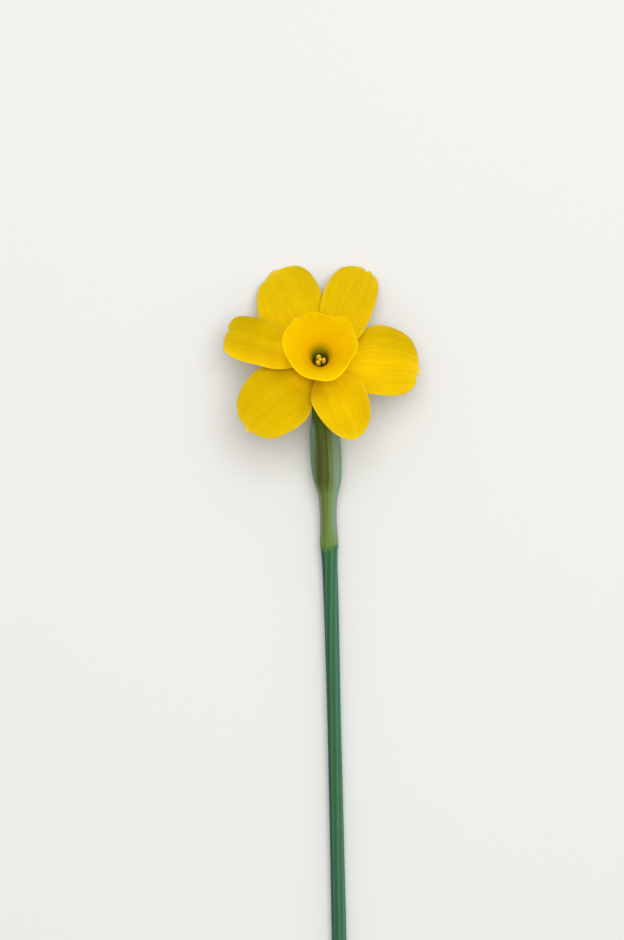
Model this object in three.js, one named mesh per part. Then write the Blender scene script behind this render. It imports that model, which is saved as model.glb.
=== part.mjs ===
// A picked daffodil, lying on its back on a flat surface: one golden flower on a cut stem.
//
// Millimetres, +Z up. The stem lies along Y with its cut end towards -Y, and the flower looks up,
// leaning a little towards +Y. Three low points carry it, all at z = 0: the tips of the two upper
// tepals and the underside of the cut end. The origin is the middle of the bounding box, on the
// surface that the flower lies on.

import * as THREE from 'three';
import { mergeVertices } from 'three/addons/utils/BufferGeometryUtils.js';

const { degToRad, lerp, smoothstep } = THREE.MathUtils;

// ---------------------------------------------------------------- driving dimensions

const flowerTilt = degToRad(21); // the flower's axis, from straight up towards +Y
const mouthHeight = 16; // middle of the floral tube's mouth, above the surface
const wall = 0.65; // thickness of every tepal, of the cup and of the tube
const gap = 0.3; // clearance between neighbouring pieces

const mouthRadius = 2.98; // middle of the wall where the tube meets the cup
const cupRadius = 12.2; // middle of the wall at the rim
const cupHeight = 12.2; // along the flower's axis, from the tube's mouth to the rim
const tubeLength = 12; // along its curve, from the mouth to the ovary
const ovaryLength = 7.6;

const nodeX = 3.1; // where the scape ends, and the spathe and the pedicel begin
const nodeY = -62.1;
const nodeHeight = 3.4;
const cutX = 7.1; // the cut end of the scape
const cutY = -225;
const scapeRadius = 2.33; // where it is narrowest
const ribDepth = 0.08; // how far the scape's ribs stand out
const cutSwell = 0.1; // how much wider the scape is at its cut end

// ---------------------------------------------------------------- solids from grids and rings

// A closed shell of even thickness about a middle surface, which is a function of u and v, both
// from 0 to 1. The two faces are split into triangles alike. The surface's two long edges meet in
// the rows up to joined, so these have no side walls: a tube is joined in all its rows.
function shell({ columns, rows, joined = 0, thickness, surface }) {
  const step = 1e-3;
  const points = [];
  for (const offset of [thickness / 2, -thickness / 2]) {
    for (let j = 0; j <= rows; j++) {
      for (let i = 0; i <= columns; i++) {
        const [u, v] = [i / columns, j / rows];
        const across = surface(u + step, v).sub(surface(u - step, v));
        const along = surface(u, Math.min(v + step, 1)).sub(surface(u, Math.max(v - step, 0)));
        const normal = across.cross(along).normalize();
        points.push(surface(u, v).addScaledVector(normal, offset));
      }
    }
  }
  const at = (face, i, j) => (face * (rows + 1) + j) * (columns + 1) + i;
  const index = [];
  const quad = (a, b, c, d) => index.push(a, b, c, a, c, d);
  for (let j = 0; j < rows; j++) {
    for (let i = 0; i < columns; i++) {
      quad(at(0, i, j), at(0, i + 1, j), at(0, i + 1, j + 1), at(0, i, j + 1));
      index.push(at(1, i, j), at(1, i + 1, j + 1), at(1, i + 1, j));
      index.push(at(1, i, j), at(1, i, j + 1), at(1, i + 1, j + 1));
    }
  }
  for (let i = 0; i < columns; i++) {
    quad(at(0, i, 0), at(1, i, 0), at(1, i + 1, 0), at(0, i + 1, 0));
    quad(at(0, i, rows), at(0, i + 1, rows), at(1, i + 1, rows), at(1, i, rows));
  }
  for (let j = joined; j < rows; j++) {
    quad(at(0, 0, j), at(0, 0, j + 1), at(1, 0, j + 1), at(1, 0, j));
    quad(at(0, columns, j), at(1, columns, j), at(1, columns, j + 1), at(0, columns, j + 1));
  }
  return closedSolid(points, index);
}

// A solid swept along a line. frameAt gives the line's place and directions at a distance along
// it. radius is the distance from the line to the skin, by the share of the way and the angle, and
// twist is how far the whole has turned by then.
function sweep({ frameAt, from, to, steps, sides, radius, twist = () => 0 }) {
  const points = [];
  for (let j = 0; j <= steps; j++) {
    const share = j / steps;
    const { place, side, up } = frameAt(lerp(from, to, share));
    for (let i = 0; i < sides; i++) {
      const angle = (2 * Math.PI * i) / sides;
      points.push(around(place, side, up, radius(share, angle), angle + twist(share)));
    }
  }
  const [start, end] = [points.length, points.length + 1];
  points.push(frameAt(from).place, frameAt(to).place);
  const index = [];
  for (let i = 0; i < sides; i++) {
    const next = (i + 1) % sides;
    for (let j = 0; j < steps; j++) {
      const [a, b] = [j * sides + i, j * sides + next];
      index.push(a, b, b + sides, a, b + sides, a + sides);
    }
    index.push(start, next, i, end, steps * sides + i, steps * sides + next);
  }
  return closedSolid(points, index);
}

function around(place, side, up, radius, angle) {
  return place.clone()
    .addScaledVector(side, radius * Math.cos(angle))
    .addScaledVector(up, radius * Math.sin(angle));
}

function closedSolid(points, index) {
  const loose = new THREE.BufferGeometry().setFromPoints(points).setIndex(index);
  const geometry = mergeVertices(loose, 1e-4);
  geometry.computeVertexNormals();
  return geometry;
}

// ---------------------------------------------------------------- the line of the stalk

// From the tube's mouth straight back along the flower's axis, round the bend of the neck and
// along inside the spathe to the node.
const neckLine = new THREE.CatmullRomCurve3([
  new THREE.Vector3(0, 0, mouthHeight),
  new THREE.Vector3(0, -1.08, 13.2),
  new THREE.Vector3(0, -2.15, 10.4),
  new THREE.Vector3(0.05, -4.2, 7.25),
  new THREE.Vector3(0.15, -7.2, 5.35),
  new THREE.Vector3(0.3, -10.9, 4.75),
  new THREE.Vector3(0.7, -20, 4.95),
  new THREE.Vector3(1.6, -34, 5.35),
  new THREE.Vector3(2.5, -50, 4.3),
  new THREE.Vector3(nodeX, nodeY, nodeHeight),
]);

// From the node to the cut end, which touches the surface.
const scapeLine = new THREE.CatmullRomCurve3([
  new THREE.Vector3(nodeX, nodeY, nodeHeight),
  new THREE.Vector3(3.74, -80, 3.2),
  new THREE.Vector3(4.42, -106, 2.95),
  new THREE.Vector3(5.72, -160, 2.65),
  new THREE.Vector3(cutX, cutY, scapeRadius + ribDepth + cutSwell),
]);

// The place and directions at a distance along a line. A distance under 0 goes straight on past
// its start. side stays level, and up is square to it and to the line.
function frameOn(line, distance) {
  const share = THREE.MathUtils.clamp(distance / line.getLength(), 0, 1);
  const place = line.getPointAt(share);
  const forward = line.getTangentAt(share);
  if (distance < 0) place.addScaledVector(forward, distance);
  const side = new THREE.Vector3(1, 0, 0).addScaledVector(forward, -forward.x).normalize();
  return { place, side, up: forward.clone().cross(side) };
}

const alongNeck = (distance) => frameOn(neckLine, distance);
const alongScape = (distance) => frameOn(scapeLine, distance);

// A line beside the neck's, at a distance out from it and at an angle round it.
const besideNeck = (out, angle) => (distance) => {
  const { place, side, up } = alongNeck(distance);
  return { place: around(place, side, up, out, angle), side, up };
};

// ---------------------------------------------------------------- tepals

// Each tepal is a blade that grows out from the tube. angle is its direction round the flower,
// counter-clockwise from +X as seen from the front, and left is its counter-clockwise side. Each
// side is widest at a share of the length, and its far corner is blunter than an ellipse's where
// blunt is over 2. reflex is how far the tip bends back, and cupping how far the margins stand
// forward. A blade that rests on the surface takes its reflex from the height of the flower.
const tepals = [
  {
    name: 'outer_tepal_1', level: 'outer', angle: 114.4, length: 38.5, rests: true, cupping: 0.2,
    left: { width: 12.9, at: 0.43, blunt: 1.8 }, right: { width: 11.1, at: 0.62, blunt: 3.2 },
  },
  {
    name: 'outer_tepal_2', level: 'outer', angle: 225, length: 34.8, reflex: 1.5, cupping: 0.7,
    left: { width: 11.7, at: 0.56, blunt: 2 }, right: { width: 12.7, at: 0.52, blunt: 2 },
  },
  {
    name: 'outer_tepal_3', level: 'outer', angle: 355, length: 33.6, reflex: 2.8, cupping: 0.7,
    left: { width: 14.3, at: 0.56, blunt: 2.4 }, right: { width: 10.5, at: 0.55, blunt: 2.45 },
  },
  {
    name: 'inner_tepal_1', level: 'inner', angle: 67.3, length: 39.2, rests: true, cupping: 1.2,
    left: { width: 8.6, at: 0.66, blunt: 2.3 }, right: { width: 9.8, at: 0.39, blunt: 2.35 },
  },
  {
    name: 'inner_tepal_2', level: 'inner', angle: 166.3, length: 33.5, reflex: 0.2, cupping: 1.8,
    left: { width: 7.6, at: 0.5, blunt: 2.8 }, right: { width: 9.3, at: 0.64, blunt: 3.4 },
  },
  {
    name: 'inner_tepal_3', level: 'inner', angle: 290.5, length: 31.8, reflex: -0.8, cupping: 1.6,
    left: { width: 10.3, at: 0.46, blunt: 2 }, right: { width: 8.4, at: 0.47, blunt: 1.65 },
  },
];
const levels = { inner: -0.9, outer: -2.3 }; // along the flower's axis, at the tube
const tepalRise = 1.2; // how far each blade rises before it spreads
const spreadRadius = 14; // where it has spread
const reflexPower = 2.6; // over 1, the blade bends more and more towards its tip
const cuppingFrom = 5; // distance from the axis where the margins begin to stand forward
const cuppingTo = 20; // and where they do so in full
const wave = 0.35; // how far the margins wave to and fro
const waveTurn = 0.42; // radians of that wave in a millimetre of the length
const clawWidth = 1.9; // half the blade's width where it grows from the tube
const clawShare = 0.55; // share of the rows from there to the widest place
const mucro = 0.7; // length of the small point at the tip of an outer tepal
const mucroWidth = 0.12; // half its width, as a share of the blade's
const tubeClearance = mouthRadius + wall / 2 + gap;

// A point's height above the surface, from its place in the flower's own frame.
const heightOf = (y, z) => mouthHeight - y * Math.sin(flowerTilt) + z * Math.cos(flowerTilt);

// The reflex that brings the tip of a blade down to the surface, and presses it on a little.
function restingReflex(tepal) {
  const press = 0.7;
  const tipHeight = heightOf(
    tepal.length * Math.sin(degToRad(tepal.angle)),
    levels[tepal.level] + tepalRise,
  );
  return (tipHeight - wall / 2 + press) / Math.cos(flowerTilt);
}

// Lifts a point of the flower's frame straight up, so that the blade comes no lower than the
// surface. It eases in over the last half millimetre.
function settle(point) {
  const ease = 0.5;
  const spare = heightOf(point.y, point.z) - wall / 2;
  if (spare >= ease) return point;
  const lift = (spare > -ease ? (spare + ease) ** 2 / (4 * ease) : 0) - spare;
  return point.add(new THREE.Vector3(0, -Math.sin(flowerTilt), Math.cos(flowerTilt))
    .multiplyScalar(lift));
}

// The outline's place on the plane of the blade: across to the left, and along to the tip.
function tepalOutline(tepal, u, v) {
  const a = 1 - 2 * u; // from the left margin, 1, to the right one, -1
  const { width, blunt } = a > 0 ? tepal.left : tepal.right;
  const widest = tepal.length * lerp(tepal.right.at, tepal.left.at, (a + 1) / 2);
  if (v < clawShare) {
    const share = v / clawShare;
    const start = Math.sqrt(tubeClearance ** 2 - (a * clawWidth) ** 2);
    const spread = Math.sin((Math.PI / 2) * share) ** 1.3;
    return [a * lerp(clawWidth, width, spread), lerp(start, widest, share)];
  }
  // A square is pushed into a round end. Its corners stay a little short of straight angles.
  const b = (v - clawShare) / (1 - clawShare);
  const cornering = 0.47;
  const x = a * Math.sqrt(1 - cornering * b * b);
  const y = b * Math.sqrt(1 - cornering * a * a);
  const turn = Math.atan2(y, Math.abs(x));
  const swell = (Math.cos(turn) ** blunt + Math.sin(turn) ** blunt) ** (-1 / blunt);
  const point = tepal.level === 'outer' ? Math.exp(-((a / mucroWidth) ** 2)) * b ** 6 : 0;
  const round = y * swell * (tepal.length - mucro - widest);
  return [x * swell * width, widest + round + mucro * point];
}

function tepalSurface(tepal) {
  const reflex = tepal.rests ? restingReflex(tepal) : tepal.reflex;
  const direction = degToRad(tepal.angle);
  return (u, v) => {
    const [across, along] = tepalOutline(tepal, u, v);
    const { width } = across > 0 ? tepal.left : tepal.right;
    const height = levels[tepal.level]
      + tepalRise * smoothstep(along, tubeClearance, spreadRadius)
      - reflex * (along / tepal.length) ** reflexPower
      + tepal.cupping * (across / width) ** 2 * smoothstep(along, cuppingFrom, cuppingTo)
      + wave * (across / width) ** 2 * Math.sin(waveTurn * along + 2 * tepal.angle);
    return settle(new THREE.Vector3(
      along * Math.cos(direction) - across * Math.sin(direction),
      along * Math.sin(direction) + across * Math.cos(direction),
      height,
    ));
  };
}

function makeTepal(tepal) {
  return shell({ columns: 12, rows: 13, thickness: wall, surface: tepalSurface(tepal) });
}

// ---------------------------------------------------------------- the cup

// The middle of the wall, as distance out from the flower's axis and height along it.
const cupProfile = new THREE.SplineCurve([
  new THREE.Vector2(mouthRadius, gap),
  new THREE.Vector2(3.4, 1.2),
  new THREE.Vector2(5.2, 3.6),
  new THREE.Vector2(7.4, 6.6),
  new THREE.Vector2(9.4, 9.1),
  new THREE.Vector2(10.9, 10.9),
  new THREE.Vector2(cupRadius, cupHeight),
]);

// The rim is waved in three broad lobes and six small ones, and has one notch.
function cupSurface(u, v) {
  const angle = 2 * Math.PI * u;
  const { x: out, y: up } = cupProfile.getPoint(v);
  const rim = v ** 3;
  const fromNotch = Math.atan2(Math.sin(angle - degToRad(78)), Math.cos(angle - degToRad(78)));
  const notch = Math.exp(-((fromNotch / 0.24) ** 2));
  const lobes = 0.035 * Math.cos(3 * (angle - degToRad(32))) + 0.018 * Math.cos(6 * angle + 0.6);
  const radius = out * (1 + rim * (lobes - 0.07 * notch));
  const wave = 0.4 * Math.cos(6 * angle + 2.2) + 0.25 * Math.cos(3 * angle);
  return new THREE.Vector3(radius * Math.cos(angle), radius * Math.sin(angle), up + rim * wave);
}

function makeCup() {
  return shell({ columns: 36, rows: 8, joined: 8, thickness: wall, surface: cupSurface });
}

// ---------------------------------------------------------------- tube, ovary and pedicel

// The tube narrows like a funnel on its way from the mouth to the ovary.
const narrowRadius = 2;
const narrowsFrom = 2.6; // distances along the tube
const narrowsTo = 10;

function tubeSurface(u, v) {
  const distance = lerp(gap / 2, tubeLength, v);
  const radius = lerp(mouthRadius, narrowRadius, smoothstep(distance, narrowsFrom, narrowsTo));
  const { place, side, up } = alongNeck(distance);
  return around(place, side, up, radius, 2 * Math.PI * u);
}

function makeTube() {
  return shell({ columns: 20, rows: 9, joined: 9, thickness: wall, surface: tubeSurface });
}

// The ovary has three rounded lobes, and tapers into the tube and the pedicel.
function makeOvary() {
  const from = tubeLength + gap;
  const radius = (share, angle) => {
    const swell = Math.sin(Math.PI * share) ** 0.8;
    return lerp(2.25, 1.75, share) + 0.95 * swell * (1 + 0.1 * Math.sin(3 * angle));
  };
  return sweep({ frameAt: alongNeck, from, to: from + ovaryLength, steps: 10, sides: 18, radius });
}

// The pedicel runs from the ovary to the node, hidden in the spathe for most of its way.
function makePedicel() {
  const from = tubeLength + gap + ovaryLength + gap;
  const to = neckLine.getLength() - gap;
  const radius = (share) => lerp(1.7, 1.4, smoothstep(share, 0, 0.15));
  return sweep({ frameAt: alongNeck, from, to, steps: 14, sides: 12, radius });
}

// ---------------------------------------------------------------- spathe

// A papery sheath, closed round the pedicel above the node, then swollen and split along its
// upper side, where the flower came out, and pointed beneath the flower. At each station along Y,
// x and height are those of its middle, and left and right are how far round from the underside
// each flank goes, in degrees.
const spatheStations = [
  { y: nodeY + gap, x: nodeX, radius: 3, height: nodeHeight, left: 188, right: 172 },
  { y: -58, x: 2.97, radius: 2.65, height: 3.6, left: 188, right: 172 },
  { y: -52, x: 2.8, radius: 2.52, height: 4.1, left: 188, right: 172 },
  { y: -47, x: 2.73, radius: 2.78, height: 4.7, left: 188, right: 172 },
  { y: -44, x: 2.71, radius: 3.28, height: 4.95, left: 188, right: 172 },
  { y: -41, x: 2.55, radius: 4.15, height: 5.15, left: 188, right: 172 },
  { y: -37.5, x: 2.28, radius: 4.72, height: 5.4, left: 183, right: 171 },
  { y: -32, x: 2.04, radius: 4.95, height: 5.55, left: 180, right: 170 },
  { y: -26.5, x: 1.72, radius: 4.9, height: 5.5, left: 176, right: 170 },
  { y: -21.5, x: 1.4, radius: 4.6, height: 5.2, left: 158, right: 162 },
  { y: -17, x: 1.15, radius: 4.2, height: 4.8, left: 110, right: 118 },
  { y: -12.5, x: 0.85, radius: 4, height: 4.6, left: 50, right: 52 },
  { y: -8, x: 0.55, radius: 3.8, height: 4.4, left: 13, right: 13 },
];
const spatheWall = 0.6;
const rowsPerStation = 2;
const lastClosedStation = 5;

function stationValue(name, v) {
  const points = spatheStations.map((station) => new THREE.Vector2(station.y, station[name]));
  return new THREE.SplineCurve(points).getPoint(v);
}

function spatheSurface(u, v) {
  const { x: y, y: radius } = stationValue('radius', v);
  const [x, height] = ['x', 'height'].map((name) => stationValue(name, v).y);
  const closed = v <= lastClosedStation / (spatheStations.length - 1);
  const reach = (side) => (closed ? spatheStations[0][side] : stationValue(side, v).y);
  const angle = degToRad(lerp(-reach('right'), reach('left'), u));
  return new THREE.Vector3(x - radius * Math.sin(angle), y, height - radius * Math.cos(angle));
}

function makeSpathe() {
  return shell({
    columns: 18,
    rows: rowsPerStation * (spatheStations.length - 1),
    joined: rowsPerStation * lastClosedStation,
    thickness: spatheWall,
    surface: spatheSurface,
  });
}

// ---------------------------------------------------------------- scape

// Ribbed along its length, and turning as it goes, most of all near the node. It widens towards
// the node, with a lip there, and a little towards its cut end.
const lip = 0.7;
const lipFade = 3.5; // distance from the node in which the lip dies away
const nodeSwell = 0.14;
const scapeTurn = (share) => degToRad(90 - 28 * (1 - share) - 40 * Math.exp(-5.8 * share));

function makeScape() {
  const ribs = 8;
  const length = scapeLine.getLength();
  const radius = (share, angle) => scapeRadius
    + ribDepth * Math.cos(ribs * angle)
    + lip * Math.exp(-(share * length) / lipFade)
    + nodeSwell * (1 - smoothstep(share, 0, 0.3))
    + cutSwell * smoothstep(share, 0.5, 1);
  const slices = { frameAt: alongScape, from: 0, to: length, steps: 30, sides: 2 * ribs };
  return sweep({ ...slices, radius, twist: scapeTurn });
}

// ---------------------------------------------------------------- stamens, style and stigma

// Three long stamens bring their anthers to the mouth, and three short ones stand between them,
// deeper in the tube. Distances are along the tube, from the mouth: top and bottom bound the
// anther, and root is where the filament leaves the tube's wall.
const whorls = [
  { name: 'upper', turn: 5, top: -1, bottom: 2.6, out: 1.6, antherRadius: 0.8, root: 8.6 },
  { name: 'lower', turn: 65, top: 3.7, bottom: 6.7, out: 1.15, antherRadius: 0.45, root: 9.6 },
];
const filamentRadius = 0.25;
const rootOut = 1.08; // distance of a filament's root from the middle of the tube
const styleRadius = 0.35;
const stigmaRadius = 0.6;

const dome = (share) => Math.sin(Math.PI * lerp(0.12, 0.88, share)) ** 0.5;

// An anther is a little flattened towards the middle of the tube.
function makeAnther({ top, bottom, out, antherRadius }, angle) {
  const flattened = (turn) => 1 - 0.12 * Math.cos(2 * (turn - angle));
  const radius = (share, turn) => antherRadius * dome(share) * flattened(turn);
  const frameAt = besideNeck(out, angle);
  return sweep({ frameAt, from: top, to: bottom, steps: 6, sides: 10, radius });
}

function makeFilament({ bottom, out, root }, angle) {
  const [from, to] = [bottom + gap, root];
  const frameAt = (distance) => {
    const share = smoothstep(distance, from, to);
    return besideNeck(lerp(out, rootOut, share), angle)(distance);
  };
  return sweep({ frameAt, from, to, steps: 5, sides: 8, radius: () => filamentRadius });
}

const stigmaTop = -0.9;
const stigmaBottom = 0.2;

function makeStyle() {
  const [from, to] = [stigmaBottom + gap, tubeLength];
  return sweep({
    frameAt: alongNeck, from, to, steps: 10, sides: 8, radius: () => styleRadius,
  });
}

function makeStigma() {
  const radius = (share, angle) => stigmaRadius * dome(share) * (1 + 0.12 * Math.cos(3 * angle));
  return sweep({
    frameAt: alongNeck, from: stigmaTop, to: stigmaBottom, steps: 5, sides: 12, radius,
  });
}

// ---------------------------------------------------------------- the flower, put together

const finish = (color, roughness) => ({ color, roughness, metalness: 0 });
const finishes = {
  tepal: finish('#efcc0a', 0.55),
  cup: finish('#f7c200', 0.55),
  tube: finish('#a3ad3a', 0.6),
  ovary: finish('#5f8a34', 0.5),
  pedicel: finish('#7d9a3c', 0.5),
  spathe: finish('#96a064', 0.65),
  scape: finish('#4f6f4b', 0.5),
  filament: finish('#d8cf5a', 0.6),
  anther: finish('#e6b422', 0.85),
  style: finish('#cdd268', 0.6),
  stigma: finish('#e89c14', 0.6),
};

function piece(name, geometry, look) {
  const mesh = new THREE.Mesh(geometry, new THREE.MeshStandardMaterial(finishes[look]));
  mesh.name = name;
  return mesh;
}

// The cup and the tepals are shaped about the flower's own axis.
function makeBloom() {
  const bloom = new THREE.Group();
  bloom.position.z = mouthHeight;
  bloom.rotation.x = -flowerTilt;
  bloom.add(piece('corona', makeCup(), 'cup'));
  for (const tepal of tepals) bloom.add(piece(tepal.name, makeTepal(tepal), 'tepal'));
  return bloom;
}

function makeHeart() {
  const heart = new THREE.Group();
  heart.add(piece('style', makeStyle(), 'style'), piece('stigma', makeStigma(), 'stigma'));
  for (const whorl of whorls) {
    for (const i of [0, 1, 2]) {
      const angle = degToRad(whorl.turn + 120 * i);
      heart.add(piece(`${whorl.name}_anther_${i + 1}`, makeAnther(whorl, angle), 'anther'));
      heart.add(piece(`${whorl.name}_filament_${i + 1}`, makeFilament(whorl, angle), 'filament'));
    }
  }
  return heart;
}

function makeStalk() {
  const stalk = new THREE.Group();
  stalk.add(piece('floral_tube', makeTube(), 'tube'));
  stalk.add(piece('ovary', makeOvary(), 'ovary'));
  stalk.add(piece('pedicel', makePedicel(), 'pedicel'));
  stalk.add(piece('spathe', makeSpathe(), 'spathe'));
  stalk.add(piece('scape', makeScape(), 'scape'));
  return stalk;
}

const daffodil = new THREE.Group();
daffodil.add(makeBloom(), makeHeart(), makeStalk());

const bounds = new THREE.Box3().setFromObject(daffodil, true);
const middle = bounds.getCenter(new THREE.Vector3());
daffodil.position.set(-middle.x, -middle.y, -bounds.min.z);

export default daffodil;
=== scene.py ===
# A picked daffodil, lying on a pale table and seen from straight above.
# The scene is in metres. Sizes in the dictionaries are in millimetres, and turns in degrees.

import bisect
import math

import bpy
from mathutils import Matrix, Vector


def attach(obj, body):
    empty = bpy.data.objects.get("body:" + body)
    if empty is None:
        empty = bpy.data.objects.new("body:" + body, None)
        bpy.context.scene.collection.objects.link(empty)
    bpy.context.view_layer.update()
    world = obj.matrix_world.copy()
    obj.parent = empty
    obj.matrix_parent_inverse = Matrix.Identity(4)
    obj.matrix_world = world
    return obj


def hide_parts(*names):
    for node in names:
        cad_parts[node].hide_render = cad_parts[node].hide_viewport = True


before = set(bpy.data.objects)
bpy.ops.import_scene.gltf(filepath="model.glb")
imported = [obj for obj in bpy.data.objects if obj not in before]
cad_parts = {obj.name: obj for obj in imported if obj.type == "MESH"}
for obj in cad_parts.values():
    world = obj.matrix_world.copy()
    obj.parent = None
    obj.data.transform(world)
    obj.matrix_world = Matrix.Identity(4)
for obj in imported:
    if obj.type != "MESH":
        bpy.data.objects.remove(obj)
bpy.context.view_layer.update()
print("loaded the solids")

mm = 0.001
xAxis = Vector((1, 0, 0))


# small helpers for numbers

def mix(a, b, t):
    return a + (b - a) * t


def ease(x, low, high):
    t = min(max((x - low) / (high - low), 0), 1)
    return t * t * (3 - 2 * t)


def hump(x, middle, width):
    return math.exp(-((x - middle) / width) ** 2)


def glide(a, b, leave, arrive, w):
    # a curve from a to b, that leaves one and arrives at the other as these directions say
    return (
        a * (2 * w ** 3 - 3 * w ** 2 + 1) + leave * (w ** 3 - 2 * w ** 2 + w)
        + b * (3 * w ** 2 - 2 * w ** 3) + arrive * (w ** 3 - w ** 2)
    )


def throughPoints(points, t):
    # a smooth curve through evenly spaced points, at t from 0 to 1
    last = len(points) - 1
    spot = min(max(t, 0), 1) * last
    i = min(int(spot), last - 1)
    before, a, b, after = (Vector(points[min(max(i + k, 0), last)]) for k in (-1, 0, 1, 2))
    return glide(a, b, (b - before) / 2, (after - a) / 2, spot - i)


def lineThrough(points, steps=30):
    # a smooth line: places close together on it, and the distance along it and the way at each
    spots = [Vector(point) for point in points]
    spots = [2 * spots[0] - spots[1]] + spots + [2 * spots[-1] - spots[-2]]
    places = []
    for before, a, b, after in zip(spots, spots[1:], spots[2:], spots[3:]):
        first, middle, last = ((q - p).length ** 0.5 for p, q in ((before, a), (a, b), (b, after)))
        leave = (a - before) / first - (b - before) / (first + middle) + (b - a) / middle
        arrive = (b - a) / middle - (after - a) / (middle + last) + (after - b) / last
        for step in range(steps):
            places.append(glide(a, b, leave * middle, arrive * middle, step / steps))
    places.append(spots[-2])
    distances = [0.0]
    for p, q in zip(places, places[1:]):
        distances.append(distances[-1] + (q - p).length)
    ways = []
    for i in range(len(places)):
        ways.append((places[min(i + 1, len(places) - 1)] - places[max(i - 1, 0)]).normalized())
    return {"places": places, "distances": distances, "ways": ways, "length": distances[-1]}


def alongLine(line, distance):
    # the place on a line, with a level direction and an upright one, both square to it
    i = min(max(bisect.bisect(line["distances"], distance) - 1, 0), len(line["places"]) - 2)
    start, end = line["distances"][i], line["distances"][i + 1]
    share = (distance - start) / (end - start)
    way = line["ways"][i].lerp(line["ways"][i + 1], min(max(share, 0), 1)).normalized()
    place = line["places"][i].lerp(line["places"][i + 1], share)
    side = (xAxis - way * way.x).normalized()
    return place, side, way.cross(side)


# small helpers for meshes

def deselectAll():
    bpy.ops.object.select_all(action="DESELECT")


def startEdit():
    # in edit mode afterwards, with all of the active mesh, loose edges too
    bpy.ops.object.mode_set(mode="EDIT")
    bpy.ops.mesh.select_mode(type="VERT")
    bpy.ops.mesh.select_all(action="SELECT")


def editAll(*steps):
    # runs edit-mode steps on the whole of the active mesh
    startEdit()
    for step in steps:
        step()
    bpy.ops.object.mode_set(mode="OBJECT")


def mergeDoubles():
    bpy.ops.mesh.remove_doubles(threshold=1e-6)


def turnOutwards():
    bpy.ops.mesh.normals_make_consistent(inside=False)


def applyModifier(piece, kind, **settings):
    modifier = piece.modifiers.new(kind, kind)
    for key, value in settings.items():
        setattr(modifier, key, value)
    bpy.context.view_layer.objects.active = piece
    bpy.ops.object.modifier_apply(modifier=modifier.name)


def roundOff(piece):
    applyModifier(piece, "SUBSURF", levels=1, render_levels=1)


def saveValues(piece, name, values):
    # one number for each vertex, which materials read by its name
    layer = piece.data.attributes.new(name, "FLOAT", "POINT")
    layer.data.foreach_set("value", values)


def saveStraight(piece):
    # where each vertex is before the piece is bent, in millimetres, for its materials
    layer = piece.data.attributes.new("straight", "FLOAT_VECTOR", "POINT")
    for vertex, item in zip(piece.data.vertices, layer.data):
        item.vector = vertex.co / mm


def gridSheet(name, columns, rows, surface):
    # a flat grid whose points go where surface says, by their shares u and v of its sides
    deselectAll()
    bpy.ops.mesh.primitive_grid_add(x_subdivisions=columns, y_subdivisions=rows, size=1)
    sheet = bpy.context.object
    sheet.name = name
    for vertex in sheet.data.vertices:
        vertex.co = surface(vertex.co.x + 0.5, vertex.co.y + 0.5)
    return sheet


def ringTube(name, rings, sides):
    # a circle drawn up the Z axis, ring by ring: each has a height and a radius, in millimetres
    deselectAll()
    bpy.ops.mesh.primitive_circle_add(vertices=sides, radius=rings[0][1] * mm, fill_type="NOTHING")
    tube = bpy.context.object
    tube.name = name
    startEdit()
    bpy.ops.transform.translate(value=(0, 0, rings[0][0] * mm))
    for (low, inner), (high, outer) in zip(rings, rings[1:]):
        bpy.ops.mesh.extrude_region_move(
            TRANSFORM_OT_translate={"value": (0, 0, (high - low) * mm)})
        grow = outer / inner
        bpy.ops.transform.resize(value=(grow, grow, 1), center_override=(0, 0, high * mm))
    bpy.ops.object.mode_set(mode="OBJECT")
    return tube


def closeEnds():
    bpy.ops.mesh.fill_holes(sides=0)


def selectFaces(piece, wanted):
    # in edit mode afterwards, with only the faces that wanted picks by their centres
    bpy.ops.object.mode_set(mode="EDIT")
    bpy.ops.mesh.select_all(action="DESELECT")
    bpy.ops.mesh.select_mode(type="FACE")
    bpy.ops.object.mode_set(mode="OBJECT")
    for face in piece.data.polygons:
        face.select = wanted(face.center)
    bpy.ops.object.mode_set(mode="EDIT")


def finishPiece(piece, material):
    # every piece ends here: smooth, in its finish, riding with the flower in its solid's place
    deselectAll()
    piece.select_set(True)
    bpy.context.view_layer.objects.active = piece
    bpy.ops.object.shade_smooth()
    piece.data.materials.clear()
    piece.data.materials.append(material)
    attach(piece, "root")
    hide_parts(piece.name.replace("_look", ""))


# small helpers for materials

def newMaterial(name):
    material = bpy.data.materials.new(name)
    material.use_nodes = True
    material.node_tree.nodes.clear()
    return material


def addNode(material, kind, values=None, **settings):
    # a value is a number or a colour, or another node's output, which is then joined to it
    made = material.node_tree.nodes.new(kind)
    for key, value in settings.items():
        setattr(made, key, value)
    for key, value in (values or {}).items():
        if isinstance(value, bpy.types.NodeSocket):
            material.node_tree.links.new(value, made.inputs[key])
        else:
            made.inputs[key].default_value = value
    return made


def math2(material, operation, a, b=0.0):
    return addNode(material, "ShaderNodeMath", {0: a, 1: b}, operation=operation).outputs[0]


def mixColours(material, share, a, b):
    values = {"Factor": share, "A": a, "B": b}
    return addNode(material, "ShaderNodeMix", values, data_type="RGBA").outputs["Result"]


def screen(red, green, blue):
    # a colour as a screen gives it, from 0 to 255, turned into one that a shader takes
    shares = [value / 255 for value in (red, green, blue)]
    return (*[x / 12.92 if x < 0.04 else ((x + 0.055) / 1.055) ** 2.4 for x in shares], 1)


def ramp(material, value, stops):
    # each stop is a place from 0 to 1 and the colour there
    made = addNode(material, "ShaderNodeValToRGB", {"Fac": value})
    elements = made.color_ramp.elements
    for place, colour in stops[1:-1]:
        elements.new(place)
    for element, (place, colour) in zip(elements, stops):
        element.position = place
        element.color = colour
    return made.outputs["Color"]


def remap(material, value, low, high, start=0.0, end=1.0):
    values = {"Value": value, "From Min": low, "From Max": high, "To Min": start, "To Max": end}
    return addNode(material, "ShaderNodeMapRange", values).outputs[0]


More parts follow.
